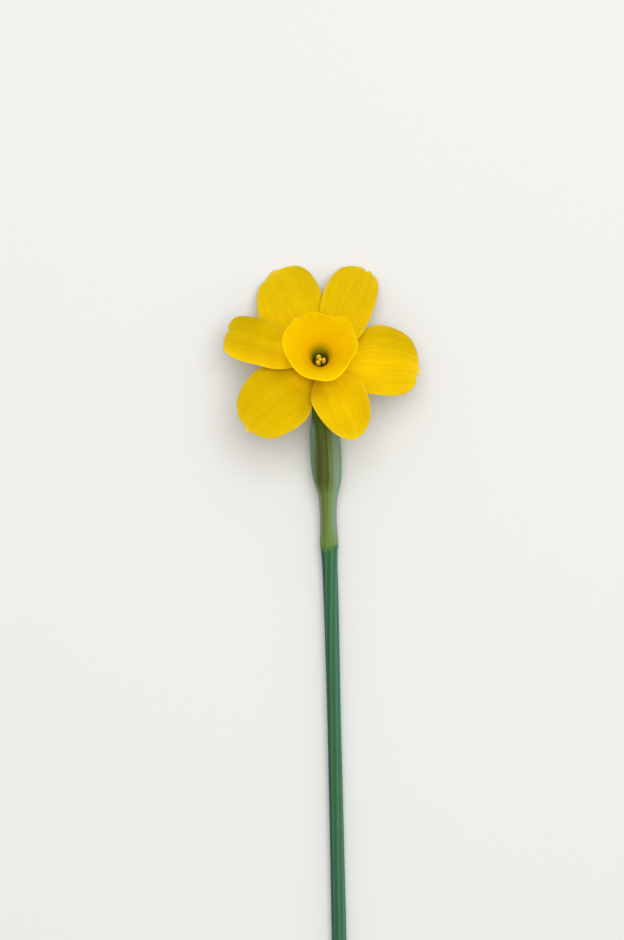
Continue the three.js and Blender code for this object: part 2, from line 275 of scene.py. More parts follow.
def readValue(material, name):
    return addNode(material, "ShaderNodeAttribute", attribute_name=name).outputs["Fac"]


def readPlace(material, name):
    return addNode(material, "ShaderNodeAttribute", attribute_name=name).outputs["Vector"]


def streaks(material, vector, scale, detail=2.0, roughness=0.5):
    # noise drawn out along one direction: scale has a number for each of the vector's axes
    drawn = addNode(material, "ShaderNodeMapping", {"Vector": vector, "Scale": scale})
    values = {"Vector": drawn.outputs[0], "Scale": 1.0, "Detail": detail, "Roughness": roughness}
    return addNode(material, "ShaderNodeTexNoise", values).outputs["Fac"]


def bump(material, height, depth):
    values = {"Height": height, "Distance": depth * mm, "Strength": 1.0}
    return addNode(material, "ShaderNodeBump", values).outputs["Normal"]


def thinTissue(material, colour, normal, roughness, glow, gloss, deep=0.6):
    # a matt skin with light inside it, and some that shines through from the far side
    skin = addNode(material, "ShaderNodeBsdfPrincipled", {
        "Base Color": colour, "Normal": normal, "Roughness": roughness,
        "Specular IOR Level": 0.3, "Specular Tint": gloss, "Subsurface Weight": 0.25,
        "Subsurface Radius": (1.0, 0.7, 0.12), "Subsurface Scale": deep * mm,
    })
    through = addNode(material, "ShaderNodeBsdfTranslucent", {"Color": colour, "Normal": normal})
    both = addNode(material, "ShaderNodeMixShader", {
        0: glow, 1: skin.outputs[0], 2: through.outputs[0],
    })
    addNode(material, "ShaderNodeOutputMaterial", {"Surface": both.outputs[0]})


def fleshyTissue(material, colour, normal, roughness, shine=0.4):
    skin = addNode(material, "ShaderNodeBsdfPrincipled", {
        "Base Color": colour, "Normal": normal, "Roughness": roughness,
        "Specular IOR Level": shine, "Subsurface Weight": 0.15,
        "Subsurface Radius": (0.5, 1.0, 0.3), "Subsurface Scale": 0.5 * mm,
    })
    addNode(material, "ShaderNodeOutputMaterial", {"Surface": skin.outputs[0]})


# the flower's own axis leans from straight up towards +Y, out of the mouth of its tube

# footDrop is from the cup's lowest ring to the mouth, and footDepth is how deep that ring is
bloom = {"lean": 21, "footDrop": 0.163, "footDepth": 0.1}
lean = math.radians(bloom["lean"])
bloomAxis = Vector((0, math.sin(lean), math.cos(lean)))
bloomRise = Vector((0, math.cos(lean), -math.sin(lean)))


def findMouth():
    # the middle of the cup's lowest ring lies on the axis, just in front of the mouth
    points = [vertex.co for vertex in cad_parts["corona"].data.vertices]
    lowest = min(point.dot(bloomAxis) for point in points)
    foot = [point for point in points if point.dot(bloomAxis) < lowest + bloom["footDepth"] * mm]
    return sum(foot, Vector()) / len(foot) - bloomAxis * bloom["footDrop"] * mm


mouth = findMouth()


def onBloom(x, y, z):
    return mouth + (xAxis * x + bloomRise * y + bloomAxis * z) * mm


def onTable(x, y, z):
    # a point beside the mouth, at a height above the table
    return Vector((mouth.x + x * mm, mouth.y + y * mm, z * mm))


print("mouth of the tube at", [round(value / mm, 2) for value in mouth])


# camera, light and table

view = {"across": -2.7, "down": -36.6, "height": 754, "lens": 85}


def addCamera():
    deselectAll()
    bpy.ops.object.camera_add(location=onTable(view["across"], view["down"], view["height"]))
    camera = bpy.context.object
    camera.name = "camera"
    camera.data.lens = view["lens"]
    camera.data.clip_start = 0.01
    bpy.context.scene.camera = camera


# the light is a soft sky, brightest near the top and dimmer low down, and a large lamp
studio = {
    "lamp": {"at": (150, 240, 1300), "aim": (0, -20, 10), "size": 1400, "power": 15.0},
    "from": (0.15, 0.3, 0.94), "bright": 0.78, "dim": 0.42, "sky": (1.0, 0.99, 0.97, 1),
    "table": (0.66, 0.66, 0.64, 1),
}


def addLight(name, at, aim, size, power):
    bpy.ops.object.light_add(type="AREA", location=onTable(*at))
    light = bpy.context.object
    light.name = name
    light.data.shape = "DISK"
    light.data.size = size * mm
    light.data.energy = power
    towards = onTable(*aim) - light.location
    light.rotation_euler = towards.to_track_quat("-Z", "Y").to_euler()


def addTable():
    deselectAll()
    bpy.ops.mesh.primitive_plane_add(size=4, location=(0, 0, 0))
    table = bpy.context.object
    table.name = "table"
    material = newMaterial("paleTable")
    surface = addNode(material, "ShaderNodeBsdfPrincipled", {
        "Base Color": studio["table"], "Roughness": 0.7, "Specular IOR Level": 0.2,
    })
    addNode(material, "ShaderNodeOutputMaterial", {"Surface": surface.outputs[0]})
    table.data.materials.append(material)


def addSky():
    world = bpy.data.worlds.new("studio")
    bpy.context.scene.world = world
    world.use_nodes = True
    world.node_tree.nodes.clear()
    way = addNode(world, "ShaderNodeTexCoord").outputs["Generated"]
    towards = addNode(world, "ShaderNodeVectorMath", {0: way, 1: studio["from"]},
                      operation="DOT_PRODUCT")
    strength = remap(world, towards.outputs["Value"], -0.4, 1.0, studio["dim"], studio["bright"])
    sky = addNode(world, "ShaderNodeBackground", {"Color": studio["sky"], "Strength": strength})
    addNode(world, "ShaderNodeOutputWorld", {"Surface": sky.outputs[0]})


addCamera()
addLight("lamp", **studio["lamp"])
addTable()
addSky()
bpy.context.scene.view_settings.view_transform = "Standard"
print("camera, light and table")


# tepals

tepals = {
    "levels": {"inner": -0.9, "outer": -2.3}, "rise": 1.2, "spreadAt": 14, "bend": 2.6,
    "opens": (5, 20), "wave": 0.35, "waveTurn": 0.42, "foldSoftness": 0.2,
    "curlAcross": (0.45, 1.3), "curlAlong": (10, 22),
    "groove": 0.15, "grooveWidth": 1.3, "grooveFromClaw": (6, 14), "grooveFromTip": (1, 9),
    "squareness": 0.47, "press": 0.7, "softLanding": 0.5,
    "start": 3.605, "root": 3.1, "claw": 1.9, "clawShare": 0.55, "clawCurve": 1.3,
    "mucro": 0.7, "mucroWidth": 0.12, "mucroPower": 6, "nickPower": 8, "rimPowers": (18, 24),
    # where the painted shade and light change along and across the blade, and how wide the ring of
    # painted light by the cup is
    "toneAlong": (0.2, 0.75), "toneAcross": (0.15, 0.85), "underCupWidth": 2,
    "solidWall": 0.65, "wall": 0.5, "thinRim": 0.45, "columns": 48, "rows": 44,
}

# each side is widest at a share of the length, and blunter than an ellipse where blunt is over 2.
# a fold creases the blade along its middle, and a curl lifts its left or its right margin. After the
# curl come painted shade and light: how much brighter or darker the colour is made along its middle
# and at its left and right margins, far out and then by the cup, and then a ring of painted light by
# the cup against its shadow: how much brighter it is there, and how far out that ring lies. nicks
# have a turn, a depth and a width, where the turn is 0 at the left side and 90 at the tip
tepalShapes = {
    "outer_tepal_1": {
        "layer": "outer", "angle": 114.4, "length": 38.5, "rests": True, "cupping": 0.2, "fold": 0.5,
        "left": {"width": 12.9, "at": 0.43, "blunt": 1.8},
        "right": {"width": 11.1, "at": 0.62, "blunt": 3.2},
        "curl": (0, 0.4), "tone": (1.03, 1.06, 0.96), "nearTone": (1.08, 1.32, 1.2),
        "underCup": (0.18, 14), "nicks": [(72, 0.7, 7)],
    },
    "outer_tepal_2": {
        "layer": "outer", "angle": 225, "length": 34.8, "reflex": 1.5, "cupping": 0.7, "fold": 0.2,
        "left": {"width": 11.7, "at": 0.56, "blunt": 2},
        "right": {"width": 12.7, "at": 0.52, "blunt": 2},
        "curl": (0, 0.3), "tone": (0.95, 1.02, 0.9), "nearTone": (0.97, 0.76, 0.82),
        "underCup": (0.25, 10.5), "nicks": [(100, 0.5, 6), (76, 0.3, 6)],
    },
    "outer_tepal_3": {
        "layer": "outer", "angle": 355, "length": 33.6, "reflex": 2.8, "cupping": 0.7, "fold": 0.2,
        "left": {"width": 14.3, "at": 0.56, "blunt": 2.4},
        "right": {"width": 10.5, "at": 0.55, "blunt": 2.45},
        "curl": (2.0, 0), "tone": (1.1, 0.84, 1.1), "nearTone": (1.18, 1.0, 1.1),
        "underCup": (0.1, 11.5), "nicks": [(101, 0.6, 6)],
    },
    "inner_tepal_1": {
        "layer": "inner", "angle": 67.3, "length": 39.2, "rests": True, "cupping": 1.2, "fold": 0.3,
        "left": {"width": 8.6, "at": 0.66, "blunt": 2.3},
        "right": {"width": 9.8, "at": 0.39, "blunt": 2.35},
        "curl": (0, 0), "tone": (1.02, 1, 1.05), "nearTone": (1.02, 1.05, 1.1),
        "underCup": (0, 12), "nicks": [(97, 0.8, 4), (113, 0.5, 4)],
    },
    "inner_tepal_2": {
        "layer": "inner", "angle": 166.3, "length": 33.5, "reflex": 0.2, "cupping": 1.8, "fold": 2.0,
        "left": {"width": 7.6, "at": 0.5, "blunt": 2.8},
        "right": {"width": 9.3, "at": 0.64, "blunt": 3.4},
        "curl": (0, 0.3), "tone": (0.92, 1.16, 0.78), "nearTone": (1.16, 1.2, 1.1),
        "underCup": (0.2, 13), "nicks": [(108, 0.9, 4)],
    },
    "inner_tepal_3": {
        "layer": "inner", "angle": 290.5, "length": 31.8, "reflex": -0.8, "cupping": 1.6, "fold": 0.4,
        "left": {"width": 10.3, "at": 0.46, "blunt": 2},
        "right": {"width": 8.4, "at": 0.47, "blunt": 1.65},
        "curl": (0.3, 0), "tone": (1.08, 1.0, 1.12), "nearTone": (1.0, 1.15, 0.86),
        "underCup": (0.15, 10.5), "nicks": [],
    },
}


def heightAbove(y, z):
    return mouth.z / mm - y * math.sin(lean) + z * math.cos(lean)


def restingReflex(shape):
    # bends the tip down to the table and presses it on a little
    y = shape["length"] * math.sin(math.radians(shape["angle"]))
    tip = heightAbove(y, tepals["levels"][shape["layer"]] + tepals["rise"])
    return (tip - tepals["solidWall"] / 2 + tepals["press"]) / math.cos(lean)


def settle(x, y, z):
    # lifts what would be under the table, easing over the last of the way down
    soft = tepals["softLanding"]
    spare = heightAbove(y, z) - tepals["solidWall"] / 2
    if spare >= soft:
        return x, y, z
    lift = ((spare + soft) ** 2 / (4 * soft) if spare > -soft else 0) - spare
    return x, y - lift * math.sin(lean), z + lift * math.cos(lean)


def tepalOutline(shape, u, v):
    a = 1 - 2 * u
    side = shape["left"] if a > 0 else shape["right"]
    widest = shape["length"] * mix(shape["right"]["at"], shape["left"]["at"], (a + 1) / 2)
    claw, clawShare = tepals["claw"], tepals["clawShare"]
    if v < clawShare:
        share = v / clawShare
        start = math.sqrt(tepals["root"] ** 2 - (a * claw) ** 2)
        spread = math.sin(math.pi / 2 * share) ** tepals["clawCurve"]
        return a * mix(claw, side["width"], spread), mix(start, widest, share)
    b = (v - clawShare) / (1 - clawShare)
    x = a * math.sqrt(1 - tepals["squareness"] * b * b)
    y = b * math.sqrt(1 - tepals["squareness"] * a * a)
    turn = math.atan2(y, abs(x))
    blunt = side["blunt"]
    swell = (math.cos(turn) ** blunt + math.sin(turn) ** blunt) ** (-1 / blunt)
    way = math.degrees(math.atan2(y, x))
    reach = min(1, math.hypot(x, y))
    bite = sum(depth * hump(way, at, width) for at, depth, width in shape["nicks"])
    bite *= reach ** tepals["nickPower"]
    point = 0
    if shape["layer"] == "outer":
        point = hump(a, 0, tepals["mucroWidth"]) * b ** tepals["mucroPower"]
    x *= swell * side["width"]
    y *= swell * (shape["length"] - tepals["mucro"] - widest)
    shrink = 1 - bite / max(math.hypot(x, y), 1)
    return x * shrink, widest + y * shrink + tepals["mucro"] * point


def tepalPoint(shape, reflex, u, v):
    across, along = tepalOutline(shape, u, v)
    a = across / (shape["left"] if across > 0 else shape["right"])["width"]
    opened = ease(along, *tepals["opens"])
    curled = ease(abs(a), *tepals["curlAcross"]) * ease(along, *tepals["curlAlong"])
    soft = tepals["foldSoftness"]
    groove = tepals["groove"] * hump(across, 0, tepals["grooveWidth"])
    groove *= ease(along, *tepals["grooveFromClaw"])
    groove *= ease(shape["length"] - along, *tepals["grooveFromTip"])
    height = (
        tepals["levels"][shape["layer"]]
        + tepals["rise"] * ease(along, tepals["start"], tepals["spreadAt"])
        - reflex * (along / shape["length"]) ** tepals["bend"]
        + shape["cupping"] * a * a * opened
        + shape["fold"] * (math.hypot(a, soft) - soft - a * a) * opened
        + shape["curl"][0 if a > 0 else 1] * curled
        + tepals["wave"] * a * a * math.sin(tepals["waveTurn"] * along + 2 * shape["angle"])
        - groove
    )
    turn = math.radians(shape["angle"])
    x = along * math.cos(turn) - across * math.sin(turn)
    y = along * math.sin(turn) + across * math.cos(turn)
    return onBloom(*settle(x, y, height))


def makeTepal(name, material):
    shape = tepalShapes[name]
    reflex = restingReflex(shape) if shape.get("rests") else shape["reflex"]
    tepal = gridSheet(name + "_look", tepals["columns"], tepals["rows"],
                      lambda u, v: tepalPoint(shape, reflex, u, v))
    shares = [(loop.uv.x, loop.uv.y) for loop in tepal.data.uv_layers[0].data]
    rim, tip, tone = ([0.0] * len(tepal.data.vertices) for k in range(3))
    sidePower, farPower = tepals["rimPowers"]
    for corner, (u, v) in zip(tepal.data.loops, shares):
        # painted shade and light: the colour is made brighter or darker along and across the blade, and
        # brighter in a ring by the cup against the cup's shadow
        away = ease(v, *tepals["toneAlong"])
        middle, left, right = Vector(shape["nearTone"]).lerp(Vector(shape["tone"]), away)
        across = ease(abs(1 - 2 * u), *tepals["toneAcross"])
        lift, reach = shape["underCup"]
        out = math.hypot(*tepalOutline(shape, u, v))
        underCup = lift * hump(out, reach, tepals["underCupWidth"])
        tone[corner.vertex_index] = mix(middle, left if u < 0.5 else right, across) * (1 + underCup)
        rim[corner.vertex_index] = max(abs(2 * u - 1) ** sidePower, v ** farPower)
        tip[corner.vertex_index] = hump(u, 0.5, 0.025) * ease(v, 0.965, 0.998)
    saveValues(tepal, "rim", rim)
    saveValues(tepal, "tip", tip if shape["layer"] == "outer" else [0.0] * len(tip))
    saveValues(tepal, "tone", tone)
    thin = tepal.vertex_groups.new(name="thick")
    for index, share in enumerate(rim):
        thin.add([index], 1 - share, "REPLACE")
    applyModifier(tepal, "SOLIDIFY", thickness=tepals["wall"] * mm, offset=0,
                  vertex_group="thick", thickness_vertex_group=tepals["thinRim"])
    roundOff(tepal)
    finishPiece(tepal, material)


def goldenTepal():
    # fine veins run from the claw to the tip, where the noise crosses its middle value
    material = newMaterial("goldenTepal")
    uv = addNode(material, "ShaderNodeTexCoord").outputs["UV"]
    fine = streaks(material, uv, (34, 0.7, 1), detail=1)
    fromMiddle = math2(material, "ABSOLUTE", math2(material, "SUBTRACT", fine, 0.5))
    veins = remap(material, fromMiddle, 0, 0.08)
    broad = streaks(material, uv, (6, 1.2, 1))
    place = addNode(material, "ShaderNodeTexCoord").outputs["Object"]
    cells = streaks(material, place, (2600, 2600, 2600))
    patches = streaks(material, place, (160, 160, 160))
    gold = mixColours(material, remap(material, broad, 0.3, 0.7),
                      (0.735, 0.497, 0, 1), (0.79, 0.55, 0, 1))
    gold = mixColours(material, remap(material, patches, 0.35, 0.65, 0, 0.6), gold, (0.69, 0.455, 0, 1))
    gold = mixColours(material, remap(material, veins, 0, 1, 0.34, 0), gold, (0.60, 0.37, 0, 1))
    gold = mixColours(material, remap(material, cells, 0.3, 0.7, 0, 0.2), gold, (0.82, 0.58, 0, 1))
    pale = math2(material, "MULTIPLY", readValue(material, "rim"), 0.4)
    gold = mixColours(material, pale, gold, (0.84, 0.66, 0.03, 1))
    # the painted shade and light saved on each tepal scales the gold
    tone = readValue(material, "tone")
    scaled = addNode(material, "ShaderNodeVectorMath", {0: gold, "Scale": tone}, operation="SCALE")
    gold = scaled.outputs[0]
    gold = mixColours(material, readValue(material, "tip"), gold, (0.85, 0.80, 0.42, 1))
    relief = math2(material, "ADD", veins, math2(material, "MULTIPLY", cells, 0.5))
    thinTissue(material, gold, bump(material, relief, depth=0.05),
               roughness=0.55, glow=0.22, gloss=(1.0, 0.78, 0.06, 1))
    return material


goldenTepalMaterial = goldenTepal()
for name in tepalShapes:
    makeTepal(name, goldenTepalMaterial)
print("tepals")


# the cup

cup = {
    "profile": [
        (2.9, -0.4), (3.37, 1.2), (5.2, 3.6), (7.4, 6.6), (9.4, 9.1), (10.9, 10.9), (12.2, 12.2),
    ],
    "broadLobes": 0.035, "broadTurn": 32, "smallLobes": 0.018, "smallTurn": 0.6,
    "notch": 0.07, "notchAt": 78, "notchWidth": 0.24, "broadWave": 0.25, "smallWave": 0.4,
    "waveTurn": 2.2, "rimPower": 3, "foldPower": 6, "wall": 0.5, "sides": 180, "rings": 30,
}

# where the rim is folded or pulled: place round it, how far out and up it goes, and how widely
rimFolds = [
    (283, 0.65, 0.0, 16), (122, -0.9, -0.5, 4), (132, 0.35, 0.1, 6), (64, -0.5, -0.5, 4),
    (55, 0.3, 0.1, 8), (20, -0.2, -0.3, 6), (330, -0.3, 0.1, 12), (215, 0.2, 0.1, 10),
]


def cupPoint(angle, v):
    out, up = throughPoints(cup["profile"], v)
    rim = v ** cup["rimPower"]
    fromNotch = math.remainder(angle - math.radians(cup["notchAt"]), 2 * math.pi)
    lobes = (
        cup["broadLobes"] * math.cos(3 * (angle - math.radians(cup["broadTurn"])))
        + cup["smallLobes"] * math.cos(6 * angle + cup["smallTurn"])
        - cup["notch"] * hump(fromNotch, 0, cup["notchWidth"])
    )
    wave = cup["smallWave"] * math.cos(6 * angle + cup["waveTurn"])
    wave += cup["broadWave"] * math.cos(3 * angle)
    radius = out * (1 + rim * lobes)
    for place, outwards, upwards, width in rimFolds:
        share = v ** cup["foldPower"]
        share *= hump(math.remainder(math.degrees(angle) - place, 360), 0, width)
        radius += outwards * share
        up += upwards * share
    return onBloom(radius * math.cos(angle), radius * math.sin(angle), up + rim * wave)


def makeCup(material):
    shares = [i / cup["rings"] for i in range(cup["rings"] + 1)]
    rings = []
    for share in shares:
        out, up = throughPoints(cup["profile"], share)
        rings.append((up, out))
    piece = ringTube("corona_look", rings, cup["sides"])
    saveStraight(piece)
    for vertex in piece.data.vertices:
        x, y, z = vertex.co
        v = shares[min(range(len(rings)), key=lambda i: abs(rings[i][0] * mm - z))]
        vertex.co = cupPoint(math.atan2(y, x), v)
    editAll(turnOutwards)
    applyModifier(piece, "SOLIDIFY", thickness=cup["wall"] * mm, offset=0, use_even_offset=True)
    roundOff(piece)
    finishPiece(piece, material)


def goldenCup():
    material = newMaterial("goldenCup")
    straight = readPlace(material, "straight")
    height = addNode(material, "ShaderNodeSeparateXYZ", {0: straight}).outputs["Z"]
    level = addNode(material, "ShaderNodeVectorMath", {0: straight, 1: (1, 1, 0)},
                    operation="MULTIPLY")
    around = addNode(material, "ShaderNodeVectorMath", {0: level.outputs[0]}, operation="NORMALIZE")
    spread = addNode(material, "ShaderNodeCombineXYZ", {"Z": math2(material, "MULTIPLY", height, 0.12)})
    spread = addNode(material, "ShaderNodeVectorMath", {0: around.outputs[0], 1: spread.outputs[0]})
    fine = streaks(material, spread.outputs[0], (16, 16, 2), detail=3, roughness=0.6)
    # painted shade: the cup's wall is made darker on its +Y side and lighter on its -Y side, for how the
    # light falls into it
    facing = addNode(material, "ShaderNodeSeparateXYZ", {0: around.outputs[0]}).outputs["Y"]
    gold = mixColours(material, remap(material, facing, -1, 1),
                      (1.0, 0.80, 0, 1), (0.90, 0.665, 0, 1))
    gold = mixColours(material, remap(material, fine, 0.35, 0.65, 0, 0.5), gold, (0.97, 0.76, 0, 1))
    gold = mixColours(material, remap(material, height, 5.5, 2.5), gold, (0.94, 0.64, 0, 1))
    # the green throat is the cup's own colour; it reaches higher on the +Y side as painted shade deep in
    # the cup
    low = math2(material, "SUBTRACT", height, math2(material, "MULTIPLY", facing, 1.1))
    gold = mixColours(material, remap(material, low, 2.7, 0.0), gold, (0.44, 0.36, 0.004, 1))
    gold = mixColours(material, remap(material, low, 1.0, -0.2), gold, (0.36, 0.36, 0.004, 1))
    thinTissue(material, gold, bump(material, fine, depth=0.06),
               roughness=0.5, glow=0.5, gloss=(1.0, 0.75, 0.06, 1))
    return material


makeCup(goldenCup())
print("cup")


# the stalk: one line from the mouth round the neck to the node, and one from there to the cut

neckLine = lineThrough([
    (0, 0, 16), (0, -1.08, 13.2), (0, -2.15, 10.4), (0.05, -4.2, 7.25), (0.15, -7.2, 5.35),
    (0.3, -10.9, 4.75), (0.7, -20, 4.95), (1.6, -34, 5.35), (2.5, -50, 4.3), (3.1, -62.1, 3.4),
])
scapeLine = lineThrough([
    (3.1, -62.1, 3.4), (3.74, -80, 3.2), (4.42, -106, 2.95), (5.72, -160, 2.65), (7.1, -225, 2.51),
])


def makeTube(name, line, start, end, radiusAt, rings, sides,
             radiusRound=None, shift=None, turnAt=None):
    # a straight tube first, by the distance along the line, which is then bent onto the line
    rows = [mix(start, end, i / rings) for i in range(rings + 1)]
    rows = [(row, radiusAt((row - start) / (end - start))) for row in rows]
    piece = ringTube(name + "_look", rows, sides)
    if radiusRound:
        for vertex in piece.data.vertices:
            share = (vertex.co.z / mm - start) / (end - start)
            grow = radiusRound(share, math.atan2(vertex.co.y, vertex.co.x))
            vertex.co.x *= grow
            vertex.co.y *= grow
    saveStraight(piece)
    for vertex in piece.data.vertices:
        x, y, distance = vertex.co / mm
        share = (distance - start) / (end - start)
        if turnAt:
            turn = math.radians(turnAt(share))
            x, y = x * math.cos(turn) - y * math.sin(turn), x * math.sin(turn) + y * math.cos(turn)
        place, side, up = alongLine(line, distance)
        if shift:
            out, angle = shift(share)
            place = place + side * out * math.cos(angle) + up * out * math.sin(angle)
        vertex.co = onTable(*(place + side * x + up * y))
    return piece


def greenTissue(name, dark, light, scale=(1.6, 1.6, 0.03), depth=0.1, roughness=0.5):
    # long streaks of two greens, along the piece
    material = newMaterial(name)
    grain = streaks(material, readPlace(material, "straight"), scale, detail=3, roughness=0.6)
    green = mixColours(material, remap(material, grain, 0.35, 0.65), dark, light)
    fleshyTissue(material, green, bump(material, grain, depth), roughness)
    return material


# floral tube, ovary and pedicel

floralTube = {
    "start": -0.1, "end": 12.35, "wide": 2.98, "narrow": 2.0, "narrowsFrom": 2.6, "narrowsTo": 10,
    "wall": 0.5,
}
ovary = {
    "start": 12.15, "end": 19.95, "front": 2.35, "back": 1.75, "swell": 0.95, "fullness": 0.8,
    "lobes": 0.1,
}
pedicel = {"start": 19.7, "wide": 1.7, "narrow": 1.4, "narrowsBy": 0.15, "gap": 0.3}


def makeFloralTube(material):
    def radius(share):
        distance = mix(floralTube["start"], floralTube["end"], share)
        narrowed = ease(distance, floralTube["narrowsFrom"], floralTube["narrowsTo"])
        return mix(floralTube["wide"], floralTube["narrow"], narrowed)

    piece = makeTube("floral_tube", neckLine, floralTube["start"], floralTube["end"], radius,
                     rings=24, sides=48)
    editAll(turnOutwards)
    applyModifier(piece, "SOLIDIFY", thickness=floralTube["wall"] * mm, offset=0)
    inside = []
    for vertex, item in zip(piece.data.vertices, piece.data.attributes["straight"].data):
        x, y, distance = item.vector
        middle = onTable(*alongLine(neckLine, distance)[0])
        inside.append(1.0 if (vertex.co - middle).length < math.hypot(x, y) * mm else 0.0)
    saveValues(piece, "inside", inside)
    roundOff(piece)
    finishPiece(piece, material)


def makeOvary(material):
    def core(share):
        return mix(ovary["front"], ovary["back"], share)

    def bulge(share):
        return ovary["swell"] * max(math.sin(math.pi * share), 0) ** ovary["fullness"]

    def lobed(share, angle):
        return 1 + bulge(share) * ovary["lobes"] * math.sin(3 * angle) / (core(share) + bulge(share))

    piece = makeTube("ovary", neckLine, ovary["start"], ovary["end"],
                     lambda share: core(share) + bulge(share),
                     rings=24, sides=48, radiusRound=lobed)
    editAll(closeEnds, turnOutwards)
    roundOff(piece)
    finishPiece(piece, material)


def makePedicel(material):
    def radius(share):
        return mix(pedicel["wide"], pedicel["narrow"], ease(share, 0, pedicel["narrowsBy"]))

    end = neckLine["length"] - pedicel["gap"]
    piece = makeTube("pedicel", neckLine, pedicel["start"], end, radius, rings=60, sides=32)
    editAll(closeEnds, turnOutwards)
    roundOff(piece)
    finishPiece(piece, material)


def tubeSkin():
    # golden at the mouth, greener down to the ovary, and dark green inside
    material = newMaterial("floralTubeSkin")
    straight = readPlace(material, "straight")
    depth = addNode(material, "ShaderNodeSeparateXYZ", {0: straight}).outputs["Z"]
    grain = streaks(material, straight, (1.4, 1.4, 0.12), detail=3, roughness=0.6)
    green = mixColours(material, remap(material, grain, 0.35, 0.65),
                       (0.20, 0.25, 0.01, 1), (0.30, 0.33, 0.02, 1))
    gold = mixColours(material, remap(material, depth, 0.0, 7.0), (0.60, 0.47, 0.01, 1), green)
    gold = mixColours(material, readValue(material, "inside"), gold, (0.26, 0.29, 0.004, 1))
    fleshyTissue(material, gold, bump(material, grain, depth=0.1), roughness=0.5)
    return material


makeFloralTube(tubeSkin())
makeOvary(greenTissue("ovarySkin", (0.07, 0.18, 0.02, 1), (0.14, 0.30, 0.04, 1),
                      scale=(1.2, 1.2, 0.25), depth=0.08, roughness=0.4))
makePedicel(greenTissue("pedicelSkin", (0.10, 0.20, 0.03, 1), (0.17, 0.29, 0.05, 1)))
print("tube, ovary and pedicel")


# the spathe

# evenly apart in v: the middle's place across and along the table, the radius, the middle's
# height, and how far round from the underside the left flank and the right one go. The left
# flank's edge is tucked under the right one's.
spathe = {
    "stations": [
        (3.1, -62.35, 2.86, 3.4, 188, 172), (2.97, -58, 2.65, 3.6, 188, 172),
        (2.8, -52, 2.52, 4.1, 188, 172), (2.73, -47, 2.78, 4.7, 188, 172),
        (2.71, -44, 3.28, 4.95, 188, 172), (2.55, -41, 4.15, 5.15, 188, 172),
        (2.28, -37.5, 4.72, 5.4, 197, 172), (2.04, -32, 4.95, 5.55, 202, 172),
        (1.72, -26.5, 4.9, 5.5, 202, 172), (1.5, -21.5, 4.5, 5.2, 192, 168),
        (1.5, -17, 3.85, 4.8, 128, 122), (0.85, -12.5, 4, 4.6, 50, 52), (0.55, -8, 3.8, 4.4, 13, 13),
    ],
    "lastClosed": 5, "closedReach": (188, 172), "out": 0.1, "tuck": (348, 362), "tuckDepth": 0.3,
    "wall": 0.4, "thinEdge": 0.3, "edgeAcross": (0.93, 1), "edgeStarts": 0.08,
    "mouthEdge": (0.97, 1), "nodeEdge": (0.02, 0), "columns": 96, "rows": 120,
}


def spathePoint(u, v):
    x, y, radius = throughPoints([station[:3] for station in spathe["stations"]], v)
    height, left, right = throughPoints([station[3:] for station in spathe["stations"]], v)
    split = ease(v * (len(spathe["stations"]) - 1), spathe["lastClosed"], spathe["lastClosed"] + 1)
    if split <= 0:
        left, right = spathe["closedReach"]
    angle = mix(-right, left, u)
    tuckFrom, tuckTo = spathe["tuck"]
    tucked = ease(angle, tuckFrom - right, tuckTo - right)
    radius += spathe["out"] - spathe["tuckDepth"] * split * tucked
    angle = math.radians(angle)
    return onTable(x - radius * math.sin(angle), y, height - radius * math.cos(angle))


def makeSpathe(material):
    piece = gridSheet("spathe_look", spathe["columns"], spathe["rows"], spathePoint)
    layer = piece.data.attributes.new("straight", "FLOAT_VECTOR", "POINT")
    closed = spathe["lastClosed"] / (len(spathe["stations"]) - 1)
    thin = [0.0] * len(piece.data.vertices)
    for corner, uv in zip(piece.data.loops, piece.data.uv_layers[0].data):
        u, v = uv.uv
        angle = 2 * math.pi * u
        layer.data[corner.vertex_index].vector = (math.sin(angle), math.cos(angle), v)
        sides = ease(abs(2 * u - 1), *spathe["edgeAcross"])
        sides *= ease(v, closed, closed + spathe["edgeStarts"])
        ends = max(ease(v, *spathe["mouthEdge"]), ease(v, *spathe["nodeEdge"]))
        thin[corner.vertex_index] = max(sides, ends)
    group = piece.vertex_groups.new(name="thick")
    for index, share in enumerate(thin):
        group.add([index], 1 - share, "REPLACE")
    editAll(mergeDoubles, turnOutwards)
    applyModifier(piece, "SOLIDIFY", thickness=spathe["wall"] * mm, offset=0,
                  vertex_group="thick", thickness_vertex_group=spathe["thinEdge"])
    roundOff(piece)
    finishPiece(piece, material)


